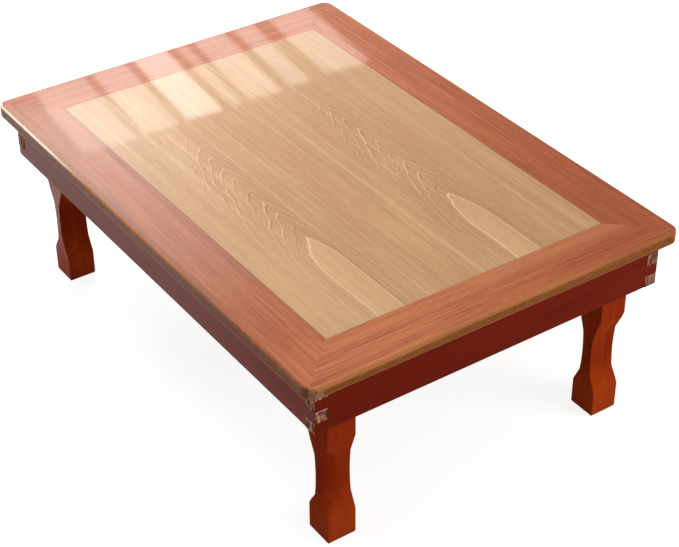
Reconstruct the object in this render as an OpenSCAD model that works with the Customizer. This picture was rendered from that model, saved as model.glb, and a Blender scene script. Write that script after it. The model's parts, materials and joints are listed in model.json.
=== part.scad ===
// Low folding table for sitting on the floor. A light oak panel is framed by
// mitred red-brown borders, finger-jointed rails hang below the board, and
// four waisted legs fold inwards along the table on riveted steel brackets.
// +X runs along the table, +Y across it and +Z up. The origin is on the floor
// under the middle of the board.

/* [Table] */
// Length over the board's edges
table_l = 700; // [660:5:760]
// Width over the board's edges
table_w = 500; // [470:5:560]
// Height of the board's face above the floor
table_h = 252; // [244:1:262]

/* [Board] */
// Thickness of the board over its edge strips
board_t = 15; // [12:0.5:18]
// Thickness of the panel and borders laid on the core
face_t = 3; // [2:0.5:4]
// Width of the border at the short ends, edge strip included
border_end = 61; // [45:1:80]
// Width of the border at the long sides, edge strip included
border_side = 63.5; // [45:0.5:80]
// Width of the edge strip
edge_w = 2.6; // [2.2:0.1:5]
// Rounding of the edge strip's upper arris
edge_top_r = 2; // [1:0.1:2.1]
// Rounding of the edge strip's lower arris
edge_low_r = 1.8; // [1:0.1:2.1]
// Radius of the board's corners in plan
corner_r = 14; // [11:1:22]

/* [Apron] */
// Thickness of the four rails
rail_t = 16; // [14:0.5:19]
// Height of the rails below the board
rail_h = 58; // [54:1:64]
// Distance from the board's short edge to the rail's face
overhang_end = 14.3; // [8:0.1:20]
// Distance from the board's long edge to the rail's face
overhang_side = 17.6; // [12:0.1:24]
// Number of fingers and sockets down each corner joint
finger_count = 4; // [3:1:6]
// How far the fingers' end grain stands proud of the face
finger_proud = 0.6; // [0.2:0.1:1.2]
// Width of the batten across the middle of the board
batten_w = 40; // [30:2:50]
// Depth of the batten and of the glue blocks below the board
batten_t = 14; // [10:1:18]
// Width of a glue block along its rail
block_l = 44; // [30:2:50]
// Distance of a glue block's centre from the middle of a long rail
block_x = 58; // [52:1:60]
// Distance of a glue block's centre from the middle of a short rail
block_y = 80; // [50:5:110]

/* [Legs] */
// Side of the square leg
leg_w = 36.5; // [32:0.5:38]
// Gap between a leg and the short rail that it leans on
leg_end_gap = 0.3; // [0.2:0.1:0.6]
// Gap between a leg and the long rail beside it
leg_side_gap = 9.6; // [7.5:0.1:12]
// Height of the square foot
foot_h = 35; // [28:0.5:40]
// Height at which the lower flare reaches the waist
waist_low = 55; // [48:1:62]
// Height at which the waist ends under the upper sweep
waist_high = 112; // [104:1:118]
// Height at which the upper sweep reaches the square top
sweep_top = 139; // [130:1:146]
// Depth of the cut at both ends of the waist
waist_end_d = 9; // [7:0.5:9.5]
// Depth of the cut in the middle of the waist
waist_mid_d = 10.8; // [10:0.1:12.2]
// Reach of the tongue facet from the leg's outer side
tongue_reach = 18; // [12:0.5:26]
// Extra depth of the tongue facet at the leg's outer side
tongue_d = 2.4; // [1:0.1:3]
// Thickness of the rubber foot pad
pad_t = 1.5; // [1:0.1:3]
// Distance of the foot pad's edge inside the foot
pad_inset = 0.8; // [0.4:0.1:4]

/* [Hinge] */
// Depth of the pivot below the board
pivot_drop = 31; // [28:0.5:33]
// Diameter of the pivot pin
pin_d = 8; // [6:0.5:10]
// Radial clearance of the leg on its pin
pin_gap = 0.05; // [0.02:0.01:0.1]
// Diameter of the pin's heads
pin_head_d = 13; // [12:0.5:16]
// Thickness of the pin's heads
pin_head_t = 2.2; // [1.5:0.1:2.8]
// Thickness of the washer under the pin's inner head
washer_t = 1; // [0.6:0.1:1.6]
// Diameter of the washer
washer_d = 15; // [14:0.5:18]
// Thickness of the bracket's steel
steel_t = 2; // [1.5:0.1:2.5]
// Gap between the leg and each cheek of the bracket
cheek_gap = 0.3; // [0.2:0.1:0.6]
// Radius of the cheek round the pin
cheek_r = 12; // [10:0.5:14]
// Length of the bracket's plate inwards from the pin
plate_in = 58; // [52:1:64]
// Length of the bracket's plate outwards from the pin
plate_out = 14; // [12:1:16]
// Distance of the inner screw pair from the pin
screw_far = 51; // [48:1:53]
// Distance of the outer screw pair from the pin
screw_near = 24; // [20:1:28]
// Distance of each screw from the bracket's middle
screw_side = 13.6; // [13.5:0.1:14]
// Diameter of the screws
screw_d = 3.6; // [3:0.1:4]
// Depth of the screws in the board
screw_depth = 8; // [6:0.5:8.5]
// Diameter of the screw and rivet heads
head_d = 7; // [6:0.1:7.4]
// Height of the screw and rivet heads
head_t = 1.8; // [1:0.1:2.2]
// Thickness of the leaf spring
leaf_t = 1.2; // [0.8:0.1:1.6]
// Width of the leaf spring
leaf_w = 16; // [10:1:18]
// Gap between the leaf spring and the leg's round end
leaf_gap = 0.3; // [0.2:0.1:0.5]
// Distance of the leaf spring's rivet from the pin
leaf_rivet = 38; // [35:1:41]
// Length of the leaf spring outwards from the pin
leaf_tip = 9; // [6:1:12]

/* [Hidden] */
$fn = 64;

// Colours as the photograph shows them
light_oak = [0.82, 0.68, 0.50];
border_red = [0.70, 0.38, 0.26];
edge_brown = [0.52, 0.35, 0.20];
rail_red = [0.42, 0.15, 0.09];
leg_red = [0.54, 0.20, 0.08];
plain_wood = [0.74, 0.58, 0.40];
steel_grey = [0.62, 0.62, 0.60];
rubber_black = [0.12, 0.12, 0.12];

// Heights
board_z = table_h - board_t;
face_z = table_h - face_t;
rail_z = board_z - rail_h;
pivot_z = board_z - pivot_drop;
plate_z = board_z - steel_t;

// Half sizes of the board, the panel and the apron
half_l = table_l / 2;
half_w = table_w / 2;
panel_x = half_l - border_end;
panel_y = half_w - border_side;
apron_x = half_l - overhang_end;
apron_y = half_w - overhang_side;
inner_x = apron_x - rail_t;
inner_y = apron_y - rail_t;
finger_h = rail_h / finger_count;

// Places of the legs and sizes of their cuts
leg_half = leg_w / 2;
leg_x = inner_x - leg_end_gap - leg_half;
leg_y = inner_y - leg_side_gap - leg_half;
waist_mid = (waist_low + waist_high) / 2;
waist_half = (waist_high - waist_low) / 2;
waist_sag = waist_mid_d - waist_end_d;
waist_r = (waist_half * waist_half + waist_sag * waist_sag) / (2 * waist_sag);
tongue_turn = atan(tongue_d / tongue_reach);
low_slope = waist_end_d / (waist_low - foot_h);
high_slope = waist_end_d / (sweep_top - waist_high);
tongue_low = foot_h + tongue_d / low_slope;
tongue_high = sweep_top - tongue_d / high_slope;
cut_past = 4;
waist_steps = 16;

// Sizes of the bracket across the leg
cheek_in = leg_half + cheek_gap;
cheek_out = cheek_in + steel_t;
leaf_z = pivot_z + leg_half + leaf_gap;

// Puts a piece drawn for the back right corner at any corner
module at_corner(side_x, side_y) {
    translate([side_x * leg_x, side_y * leg_y, 0])
        mirror([side_x < 0 ? 1 : 0, 0, 0])
            mirror([0, side_y < 0 ? 1 : 0, 0])
                children();
}

// Repeats a piece at all four corners
module at_corners() {
    for (side_x = [-1, 1])
        for (side_y = [-1, 1])
            at_corner(side_x, side_y) children();
}

// Extrudes a side view of the leg across it, from y = -depth to y = depth
module across(depth) {
    translate([0, depth, 0])
        rotate([90, 0, 0])
            linear_extrude(2 * depth) children();
}

// Rectangle with rounded corners, given by its half sizes
module rounded_plan(hx, hy, r) {
    square([2 * (hx - r), 2 * hy], center = true);
    square([2 * hx, 2 * (hy - r)], center = true);
    for (sx = [-1, 1])
        for (sy = [-1, 1])
            translate([sx * (hx - r), sy * (hy - r)]) circle(r);
}

// Board core under the panel and borders, with pilot holes for the screws
module core_board() {
    color(plain_wood)
        difference() {
            translate([0, 0, board_z])
                linear_extrude(board_t - face_t)
                    rounded_plan(half_l - edge_w, half_w - edge_w, corner_r - edge_w);
            at_corners() screw_places()
                translate([0, 0, board_z - 1])
                    cylinder(d = screw_d, h = screw_depth + 1);
        }
}

// Light panel in the middle of the face
module centre_panel() {
    color(light_oak)
        translate([-panel_x, -panel_y, face_z])
            cube([2 * panel_x, 2 * panel_y, face_t]);
}

// One border strip, cut from the face's outline by a mitred outline
module border(outline) {
    color(border_red)
        translate([0, 0, face_z])
            linear_extrude(face_t)
                intersection() {
                    rounded_plan(half_l - edge_w, half_w - edge_w, corner_r - edge_w);
                    polygon(outline);
                }
}

// Border along a long side: side is -1 in front and 1 at the back
module border_long(side) {
    border([[-half_l, side * half_w], [half_l, side * half_w],
        [panel_x, side * panel_y], [-panel_x, side * panel_y]]);
}

// Border along a short end: side is -1 on the left and 1 on the right
module border_short(side) {
    border([[side * half_l, -half_w], [side * half_l, half_w],
        [side * panel_x, panel_y], [side * panel_x, -panel_y]]);
}

// Section of the edge strip, from its inner side outwards, with rounded arrises
module edge_section() {
    difference() {
        square([edge_w, board_t]);
        translate([edge_w - edge_top_r, board_t - edge_top_r])
            square(edge_top_r + 1);
        translate([edge_w - edge_low_r, -1])
            square(edge_low_r + 1);
    }
    translate([edge_w - edge_top_r, board_t - edge_top_r])
        intersection() {
            circle(edge_top_r);
            square(edge_top_r);
        }
    translate([edge_w - edge_low_r, edge_low_r])
        intersection() {
            circle(edge_low_r);
            translate([0, -edge_low_r]) square(edge_low_r);
        }
}

// Edge strip along one side, with half of each corner: run and reach are the
// board's half sizes along and across it
module edge_strip(run, reach) {
    straight = run - corner_r;
    translate([0, 0, board_z]) {
        translate([-straight, reach - edge_w, 0])
            rotate([90, 0, 90])
                linear_extrude(2 * straight) edge_section();
        for (side = [0, 1])
            mirror([side, 0, 0])
                translate([-straight, reach - corner_r, 0])
                    rotate([0, 0, 90])
                        rotate_extrude(angle = 45)
                            translate([corner_r - edge_w, 0]) edge_section();
    }
}

module edge_long(turn) {
    color(edge_brown) rotate([0, 0, turn]) edge_strip(half_l, half_w);
}

module edge_short(turn) {
    color(edge_brown) rotate([0, 0, turn]) edge_strip(half_w, half_l);
}

// Sockets at one end of a rail that runs along +X and ends at x = end. They
// take every second finger, counted from the rail's lower edge.
module sockets(end, first) {
    for (i = [first : 2 : finger_count - 1])
        translate([end - rail_t, -1, i * finger_h])
            cube([rail_t + 2 * finger_proud, rail_t + 2, finger_h]);
}

// Rail with its face at y = 0 and its back at y = rail_t. The left end keeps
// the lowest finger and the right end the next one.
module rail(half_run, first_left, first_right) {
    translate([0, 0, rail_z])
        difference() {
            translate([-half_run - finger_proud, 0, 0])
                cube([2 * (half_run + finger_proud), rail_t, rail_h]);
            mirror([1, 0, 0]) sockets(half_run, first_left);
            sockets(half_run, first_right);
        }
}

// A long rail: its right-hand end, seen from outside, has the upper finger
module rail_long(turn) {
    color(rail_red)
        rotate([0, 0, turn])
            translate([0, -apron_y, 0]) rail(apron_x, 1, 0);
}

module rail_short(turn) {
    color(rail_red)
        rotate([0, 0, turn + 90])
            translate([0, -apron_x, 0]) rail(apron_y, 1, 0);
}

// Stiffening batten across the middle, between the long rails
module cross_batten() {
    color(plain_wood)
        translate([-batten_w / 2, -inner_y, board_z - batten_t])
            cube([batten_w, 2 * inner_y, batten_t]);
}

// Square blocks glued into the angle of board and rail
module glue_blocks() {
    color(plain_wood) {
        for (side = [-1, 1])
            for (x = [-block_x, block_x])
                translate([x, side * (inner_y - batten_t / 2), board_z - batten_t / 2])
                    cube([block_l, batten_t, batten_t], center = true);
        for (side = [-1, 1])
            for (y = [-block_y, block_y])
                translate([side * (inner_x - batten_t / 2), y, board_z - batten_t / 2])
                    cube([batten_t, block_l, batten_t], center = true);
    }
}

// Four screws of one bracket, about its pin
module screw_places() {
    for (x = [-screw_far, -screw_near])
        for (y = [-screw_side, screw_side])
            translate([x, y, 0]) children();
}

// Side view of a cheek: a lobe round the pin that widens up to the plate
module cheek_section() {
    polygon([[-leg_half, board_z], [plate_out, board_z],
        [cheek_r, pivot_z], [-cheek_r, pivot_z]]);
    translate([0, pivot_z]) circle(cheek_r);
}

// Channel-shaped bracket: a plate under the board and two cheeks
module bracket() {
    color(steel_grey)
        difference() {
            union() {
                translate([-plate_in, -cheek_out, plate_z])
                    cube([plate_in + plate_out, 2 * cheek_out, steel_t]);
                difference() {
                    across(cheek_out) cheek_section();
                    translate([-plate_in, -cheek_in, 0])
                        cube([2 * plate_in, 2 * cheek_in, plate_z]);
                }
            }
            translate([0, 0, pivot_z])
                rotate([90, 0, 0])
                    cylinder(d = pin_d, h = 4 * leg_w, center = true);
            screw_places() cylinder(d = screw_d, h = table_h);
            translate([-leaf_rivet, 0, 0]) cylinder(d = screw_d, h = table_h);
        }
}

// Riveted pivot pin across the bracket, with a head at each end
module pivot_pin() {
    head_low = -cheek_out - washer_t;
    color(steel_grey)
        translate([0, 0, pivot_z])
            rotate([-90, 0, 0]) {
                translate([0, 0, head_low])
                    cylinder(d = pin_d, h = cheek_out - head_low);
                translate([0, 0, cheek_out])
                    cylinder(d1 = pin_head_d, d2 = pin_d, h = pin_head_t);
                translate([0, 0, head_low - pin_head_t])
                    cylinder(d1 = pin_d, d2 = pin_head_d, h = pin_head_t);
            }
}

// Washers under the inner heads of the pins
module pin_washers() {
    color(steel_grey)
        at_corners()
            translate([0, -cheek_out - washer_t, pivot_z])
                rotate([-90, 0, 0])
                    difference() {
                        cylinder(d = washer_d, h = washer_t);
                        translate([0, 0, -1]) cylinder(d = pin_d, h = washer_t + 2);
                    }
}

// Side view of the leaf spring: flat under the plate, then down to the leg's
// round end and up again at the tip
module leaf_section() {
    flat_end = -leaf_rivet + head_d / 2 + 1;
    flat_start = -leaf_rivet - head_d / 2 - 1;
    rise = plate_z - leaf_t;
    polygon([[flat_start, plate_z], [flat_end, plate_z], [0, leaf_z + leaf_t],
        [leaf_tip, leaf_z + 2 * leaf_t], [leaf_tip, leaf_z + leaf_t],
        [0, leaf_z], [flat_end - leaf_t / 2, rise], [flat_start, rise]]);
}

module leaf_spring() {
    color(steel_grey)
        difference() {
            across(leaf_w / 2) leaf_section();
            translate([-leaf_rivet, 0, 0]) cylinder(d = screw_d, h = table_h);
        }
}

// Rivets that hold the leaf springs to the plates
module spring_rivets() {
    color(steel_grey)
        at_corners()
            translate([-leaf_rivet, 0, plate_z - leaf_t]) {
                cylinder(d = screw_d, h = steel_t + leaf_t);
                translate([0, 0, -head_t]) cylinder(d1 = screw_d, d2 = head_d, h = head_t);
            }
}

// Screws that hold the brackets to the board
module bracket_screws() {
    color(steel_grey)
        at_corners()
            screw_places() {
                translate([0, 0, plate_z])
                    cylinder(d = screw_d, h = steel_t + screw_depth);
                translate([0, 0, plate_z - head_t])
                    cylinder(d1 = screw_d, d2 = head_d, h = head_t);
            }
}

// Shallow curve along the waist, as points from its lower to its upper end
function waist_curve() = [
    for (i = [0 : waist_steps])
        let (z = waist_half * (2 * i / waist_steps - 1))
            [waist_r - waist_mid_d - sqrt(waist_r * waist_r - z * z), waist_mid + z]
];

// Outline that a saw takes out of one side of the leg. x = 0 is the leg's
// face. The cut starts at height low and ends at height high.
module waist_cut(low, high) {
    slope_low = (waist_low - low) / waist_end_d;
    slope_high = (high - waist_high) / waist_end_d;
    polygon(concat([[cut_past, low - cut_past * slope_low]],
        waist_curve(), [[cut_past, high + cut_past * slope_high]]));
}

// Side view of the leg: square foot, waist, and a round end about the pin
module leg_section() {
    difference() {
        union() {
            translate([-leg_half, pad_t]) square([leg_w, pivot_z - pad_t]);
            translate([0, pivot_z]) circle(leg_half);
        }
        translate([leg_half, 0]) waist_cut(foot_h, sweep_top);
        mirror([1, 0]) translate([leg_half, 0]) waist_cut(foot_h, sweep_top);
        translate([0, pivot_z]) circle(d = pin_d + 2 * pin_gap);
    }
}

// Long facet planed on the outer half of one sawn face, with a point at its foot
module tongue_cut() {
    translate([leg_half, leg_half - tongue_reach, 0])
        rotate([0, 0, tongue_turn])
            translate([0, leg_w, 0])
                rotate([90, 0, 0])
                    linear_extrude(leg_w) waist_cut(tongue_low, tongue_high);
}

module leg() {
    color(leg_red)
        difference() {
            across(leg_half) leg_section();
            tongue_cut();
            mirror([1, 0, 0]) tongue_cut();
        }
}

// Rubber pad under the foot
module foot_pad() {
    side = leg_w - 2 * pad_inset;
    color(rubber_black)
        translate([-side / 2, -side / 2, 0])
            cube([side, side, pad_t]);
}

core_board();
centre_panel();
border_long(-1);  // border_front
border_long(1);  // border_back
border_short(-1);  // border_left
border_short(1);  // border_right
edge_long(180);  // edge_front
edge_long(0);  // edge_back
edge_short(90);  // edge_left
edge_short(-90);  // edge_right
rail_long(0);  // rail_front
rail_long(180);  // rail_back
rail_short(180);  // rail_left
rail_short(0);  // rail_right
cross_batten();
glue_blocks();
at_corner(-1, -1) bracket();  // bracket_front_left
at_corner(1, -1) bracket();  // bracket_front_right
at_corner(-1, 1) bracket();  // bracket_back_left
at_corner(1, 1) bracket();  // bracket_back_right
at_corner(-1, -1) pivot_pin();  // pivot_pin_front_left
at_corner(1, -1) pivot_pin();  // pivot_pin_front_right
at_corner(-1, 1) pivot_pin();  // pivot_pin_back_left
at_corner(1, 1) pivot_pin();  // pivot_pin_back_right
at_corner(-1, -1) leaf_spring();  // leaf_spring_front_left
at_corner(1, -1) leaf_spring();  // leaf_spring_front_right
at_corner(-1, 1) leaf_spring();  // leaf_spring_back_left
at_corner(1, 1) leaf_spring();  // leaf_spring_back_right
pin_washers();
spring_rivets();
bracket_screws();
at_corner(-1, -1) leg();  // leg_front_left
at_corner(1, -1) leg();  // leg_front_right
at_corner(-1, 1) leg();  // leg_back_left
at_corner(1, 1) leg();  // leg_back_right
at_corner(-1, -1) foot_pad();  // foot_pad_front_left
at_corner(1, -1) foot_pad();  // foot_pad_front_right
at_corner(-1, 1) foot_pad();  // foot_pad_back_left
at_corner(1, 1) foot_pad();  // foot_pad_back_right
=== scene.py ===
# %% [markdown]
# # A low folding table in wood
# The table is one for people who sit on the floor: a light panel framed by
# mitred red-brown borders, four finger-jointed rails under the board, and four
# waisted legs that fold inwards. The CAD model gives every size and place, so
# this lesson starts by loading it and never moves it. What we add is what CAD
# leaves out: eased arrises, wood grain, lacquer, light and a camera.

# %% Load the CAD model
import json
import math

import bmesh
import bpy
from mathutils import Matrix, Vector


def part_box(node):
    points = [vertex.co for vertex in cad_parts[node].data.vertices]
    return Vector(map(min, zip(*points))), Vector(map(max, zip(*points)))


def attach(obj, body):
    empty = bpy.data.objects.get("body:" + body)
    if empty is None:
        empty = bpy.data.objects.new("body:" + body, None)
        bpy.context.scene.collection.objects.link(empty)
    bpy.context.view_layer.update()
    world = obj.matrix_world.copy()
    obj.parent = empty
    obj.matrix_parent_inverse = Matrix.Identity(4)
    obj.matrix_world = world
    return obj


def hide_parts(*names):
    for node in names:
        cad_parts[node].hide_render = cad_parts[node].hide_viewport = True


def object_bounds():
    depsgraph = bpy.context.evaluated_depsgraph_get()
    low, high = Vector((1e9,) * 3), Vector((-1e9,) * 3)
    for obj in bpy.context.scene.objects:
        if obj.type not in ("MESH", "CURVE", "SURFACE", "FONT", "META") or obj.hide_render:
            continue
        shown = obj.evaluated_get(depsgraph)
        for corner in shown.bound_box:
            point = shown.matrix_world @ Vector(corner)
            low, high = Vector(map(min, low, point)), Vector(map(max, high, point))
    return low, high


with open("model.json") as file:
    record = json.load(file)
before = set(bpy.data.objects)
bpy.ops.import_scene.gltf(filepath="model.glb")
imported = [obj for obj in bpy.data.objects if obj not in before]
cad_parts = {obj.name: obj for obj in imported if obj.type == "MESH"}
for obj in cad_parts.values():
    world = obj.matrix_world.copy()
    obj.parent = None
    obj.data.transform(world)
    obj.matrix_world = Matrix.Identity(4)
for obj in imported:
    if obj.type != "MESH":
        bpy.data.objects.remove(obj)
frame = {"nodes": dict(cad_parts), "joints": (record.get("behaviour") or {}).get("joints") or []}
cad_box = [list(corner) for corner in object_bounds()]
MM = 0.001
print("CAD nodes:", len(frame["nodes"]), "box in mm:",
      [[round(v / MM, 1) for v in corner] for corner in cad_box])

# %% [markdown]
# ## The camera
# The photograph looks down at the near corner from a bearing of about 56
# degrees and 35 degrees above the horizon. The camera is built from three
# directions: back, from the table to the camera, then right and up, turned by
# a small roll. A focal length in pixels becomes a lens in millimetres through
# the sensor's width, so the view needs no shift.

# %% Place the camera
IMAGE_WIDTH = 679
SENSOR = 36.0
azimuth, elevation, roll = map(math.radians, (55.5601, 35.0975, -0.3028))
aim = Vector((201.3, -109.1, 252.0)) * MM
distance = 1846.1 * MM
focal_pixels = 1721.7

back = Vector((math.sin(azimuth) * math.cos(elevation),
               -math.cos(azimuth) * math.cos(elevation),
               math.sin(elevation)))
level = Vector((0, 0, 1)).cross(back).normalized()
upright = back.cross(level)
right = math.cos(roll) * level + math.sin(roll) * upright
up = math.cos(roll) * upright - math.sin(roll) * level

camera = bpy.data.objects.new("camera", bpy.data.cameras.new("camera"))
bpy.context.scene.collection.objects.link(camera)
camera.data.sensor_fit = "HORIZONTAL"
camera.data.sensor_width = SENSOR
camera.data.lens = focal_pixels * SENSOR / IMAGE_WIDTH
camera.matrix_world = (Matrix.Translation(aim + distance * back)
                       @ Matrix((right, up, back)).transposed().to_4x4())
bpy.context.scene.camera = camera
print("camera at", [round(v, 3) for v in camera.matrix_world.translation],
      "lens", round(camera.data.lens, 2), "mm")

# %% [markdown]
# ## Shader sums in Python
# A wood finish is mostly arithmetic: a distance from the pith, a ring number,
# a streak. Wiring that by hand hides the idea, so one small class wraps an
# output socket and lets Python's own operators add the Math nodes. A second
# class holds a node tree and adds every other node with one method. A third
# is a material that knows the patterns of wood.

# %% Sockets that can be added and multiplied
class Reading:
    """One output socket of a node tree."""

    def __init__(self, wiring, socket):
        self.wiring = wiring
        self.socket = socket

    def apply(self, operation, *others):
        return self.wiring.node("ShaderNodeMath", {"operation": operation},
                                dict(enumerate((self,) + others)))

    def turned(self, operation, first):
        return self.wiring.node("ShaderNodeMath", {"operation": operation},
                                {0: first, 1: self})

    def __add__(self, other):
        return self.apply("ADD", other)

    def __radd__(self, other):
        return self.turned("ADD", other)

    def __sub__(self, other):
        return self.apply("SUBTRACT", other)

    def __rsub__(self, other):
        return self.turned("SUBTRACT", other)

    def __mul__(self, other):
        return self.apply("MULTIPLY", other)

    def __rmul__(self, other):
        return self.turned("MULTIPLY", other)

    def __truediv__(self, other):
        return self.apply("DIVIDE", other)

    def __gt__(self, other):
        return self.apply("GREATER_THAN", other)

    def __lt__(self, other):
        return self.apply("LESS_THAN", other)

    def __abs__(self):
        return self.apply("ABSOLUTE")


# %% A tree that adds its own nodes
NODES_A_ROW, COLUMN, ROW = 12, 160, 180


class Wiring:
    """A node tree whose nodes all come from one method."""

    def __init__(self, tree):
        self.tree = tree

    def join(self, socket, value):
        if isinstance(value, Reading):
            self.tree.links.new(value.socket, socket)
        else:
            socket.default_value = value

    def node(self, kind, settings, inputs, output=0):
        """Adds a node with its settings, then its inputs, and reads one output."""
        made = self.tree.nodes.new(kind)
        count = len(self.tree.nodes)
        made.location = (-COLUMN * (count % NODES_A_ROW), -ROW * (count // NODES_A_ROW))
        for name, value in settings.items():
            setattr(made, name, value)
        for name, value in inputs.items():
            self.join(made.inputs[name], value)
        return Reading(self, made.outputs[output])


# %% A material that knows the patterns of wood
class Finish(Wiring):
    """A material with one Principled shader, and the pattern that feeds it."""

    def __init__(self, name, **constants):
        self.material = bpy.data.materials.new(name)
        self.material.use_nodes = True
        super().__init__(self.material.node_tree)
        self.shader = self.tree.nodes["Principled BSDF"]
        for socket, value in constants.items():
            self.shader.inputs[socket.replace("_", " ")].default_value = value
        self.place = self.node("ShaderNodeTexCoord", {}, {}, "Object")

    def axes(self):
        """X, Y and Z of the point, in millimetres."""
        scaled = self.node("ShaderNodeVectorMath", {"operation": "SCALE"},
                           {0: self.place, "Scale": 1 / MM})
        parts = self.node("ShaderNodeSeparateXYZ", {}, {0: scaled})
        return [Reading(self, output) for output in parts.socket.node.outputs]

    def noise(self, cell, detail=2.0, roughness=0.5, shift=(0, 0, 0)):
        """Smooth noise whose cells measure cell = (x, y, z) millimetres."""
        stretched = self.node("ShaderNodeMapping", {},
                              {0: self.place, "Location": shift,
                               "Scale": [1 / (size * MM) for size in cell]})
        return self.node("ShaderNodeTexNoise", {},
                         {"Vector": stretched, "Scale": 1.0, "Detail": detail,
                          "Roughness": roughness})

    def between(self, value, low, high, start=0.0, end=1.0):
        """start at low and end at high, with a smooth step; low may be above high."""
        return self.node("ShaderNodeMapRange", {"interpolation_type": "SMOOTHSTEP"},
                         {0: value, 1: low, 2: high, 3: start, 4: end})

    def swell(self, value, low, full, still, gone):
        """0 at low, 1 from full to still, and 0 again at gone."""
        return self.between(value, low, full) * self.between(value, gone, still)

    def mix(self, share, base, colour):
        return self.node("ShaderNodeMix", {"data_type": "RGBA"},
                         {0: share, 6: base, 7: colour}, 2)

    def wash(self, base, colour, value, low, high, share):
        """Lays a colour on the base, up to that share, as the value goes from low to high."""
        return self.mix(self.between(value, low, high, 0.0, share), base, colour)

    def bump(self, height, depth, strength):
        """Height of 0..1 stands for depth millimetres."""
        raised = self.node("ShaderNodeBump", {},
                           {"Height": height, "Distance": depth * MM, "Strength": strength})
        self.join(self.shader.inputs["Normal"], raised)

    def feed(self, socket, value):
        self.join(self.shader.inputs[socket], value)


def paint(red, green, blue):
    """A colour as a screen shows it, 0 to 255, made linear for the shader."""
    linear = [(v / 255 / 12.92) if v <= 10 else ((v / 255 + 0.055) / 1.055) ** 2.4
              for v in (red, green, blue)]
    return (*linear, 1.0)


def palette(**colours):
    return {name: paint(*rgb) for name, rgb in colours.items()}


print("shader helpers ready; mid grey is", [round(v, 3) for v in paint(128, 128, 128)])

# %% [markdown]
# ## The panel's veneer
# The panel is two leaves of one flat-sawn flitch laid side by side, so the
# same flame figure appears twice. A saw cut parallel to the trunk meets the
# growth rings as nested arches. In numbers: d is the distance from the leaf's
# heart line, and each ring is a level line of d plus d squared over a
# constant plus a third term that grows towards the left end. The third term
# closes the rings to pointed arches, and the squared one pulls their arms
# flat. On the right they leave a pale tongue open round the heart.

# %% Flame figure of the panel
panel_low, panel_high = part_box("centre_panel")
LEAF = (panel_high.y - panel_low.y) / 2 / MM
LEAF_LAP, LEAF_SLIP = 1.5, 20.0
PITH = 85.0
SKEW = 0.55
TONGUE_X, TIP_ROUND = 186.0, 30.0
OPENING = 0.64
FLATTEN = 40.0
HEART = 26.0
RING = 19.0
WANDER_ACROSS, WANDER_ALONG = 12.0, 30.0
RIPPLE_ACROSS, RIPPLE_ALONG = 1.6, 16.0
JOINT_LINE = 0.8


def flame_rings(finish):
    """Ring number and its random value, depth, distance aside, and the far side's mask."""
    x, y, _ = finish.axes()
    front_leaf = y < 0.0
    wander = finish.noise((150, 60, 60), 2.0) - 0.5
    ripple = finish.noise((26, 9, 9), 2.0, 0.6) - 0.5
    across = (y + front_leaf * (LEAF - LEAF_LAP) - PITH
              + wander * WANDER_ACROSS + ripple * RIPPLE_ACROSS)
    along = x + front_leaf * LEAF_SLIP + ripple * RIPPLE_ALONG + wander * WANDER_ALONG
    far_side = across > 0.0
    aside = abs(across) * (1.0 + SKEW * far_side)
    closing = (TONGUE_X - along).apply("SMOOTH_MAX", 0.0, TIP_ROUND)
    depth = aside + aside * aside / FLATTEN + closing * OPENING
    rings = (depth - HEART).apply("MAXIMUM", 0.0) / RING
    chance = finish.node("ShaderNodeTexWhiteNoise", {"noise_dimensions": "1D"},
                         {"W": rings.apply("FLOOR")})
    return rings, chance, depth, aside, far_side


oak = palette(light=(204, 160, 114), shade=(188, 142, 96), pale_ribbon=(220, 182, 138),
              dark_ribbon=(176, 130, 88), streak=(170, 122, 78), late=(156, 110, 72),
              faint=(166, 120, 80), hatch=(150, 104, 68), early=(230, 196, 154),
              outline=(236, 208, 170), heart=(222, 184, 138), fibre=(226, 192, 150),
              pore=(128, 86, 54), far=(170, 126, 84), near=(226, 188, 142),
              joint=(126, 74, 44))


def oak_figure(finish, base):
    """Late and early wood of each ring, fine hatching, and the tongue with its outline."""
    rings, chance, depth, aside, far_side = flame_rings(finish)
    part = rings.apply("FRACT")
    third = (rings * 3.0).apply("FRACT")
    stripe = (rings * 4.5).apply("FRACT")
    near_pith = (finish.between(aside, 25.0, 70.0, 1.0, 0.45)
                 * finish.between(depth, 170.0, 215.0, 1.0, 0.3))
    late = finish.swell(part, 0.7, 0.97, 0.97, 1.0)
    base = finish.mix(late * near_pith * (0.35 + 0.45 * chance), base, oak["late"])
    faint = finish.swell(third, 0.4, 0.95, 0.95, 1.0)
    base = finish.mix(faint * near_pith * 0.4, base, oak["faint"])
    hatch = finish.between(stripe, 0.3, 0.85) * (depth > HEART + 3.0)
    hatch = hatch * finish.between(depth, HEART + 75.0, HEART + 8.0, 0.0, 0.6)
    base = finish.mix(hatch * (0.35 + 0.65 * far_side), base, oak["hatch"])
    early = finish.between(part, 0.2, 0.02) * (depth > HEART)
    early = early * near_pith * finish.between(chance, 0.2, 0.9, 0.12, 0.6)
    base = finish.mix(early, base, oak["early"])
    outline = finish.between(depth, HEART + 5.5, HEART + 1.5) * (depth > HEART)
    base = finish.mix(outline * 0.55, base, oak["outline"])
    return finish.mix((depth < HEART) * 0.3, base, oak["heart"])


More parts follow.
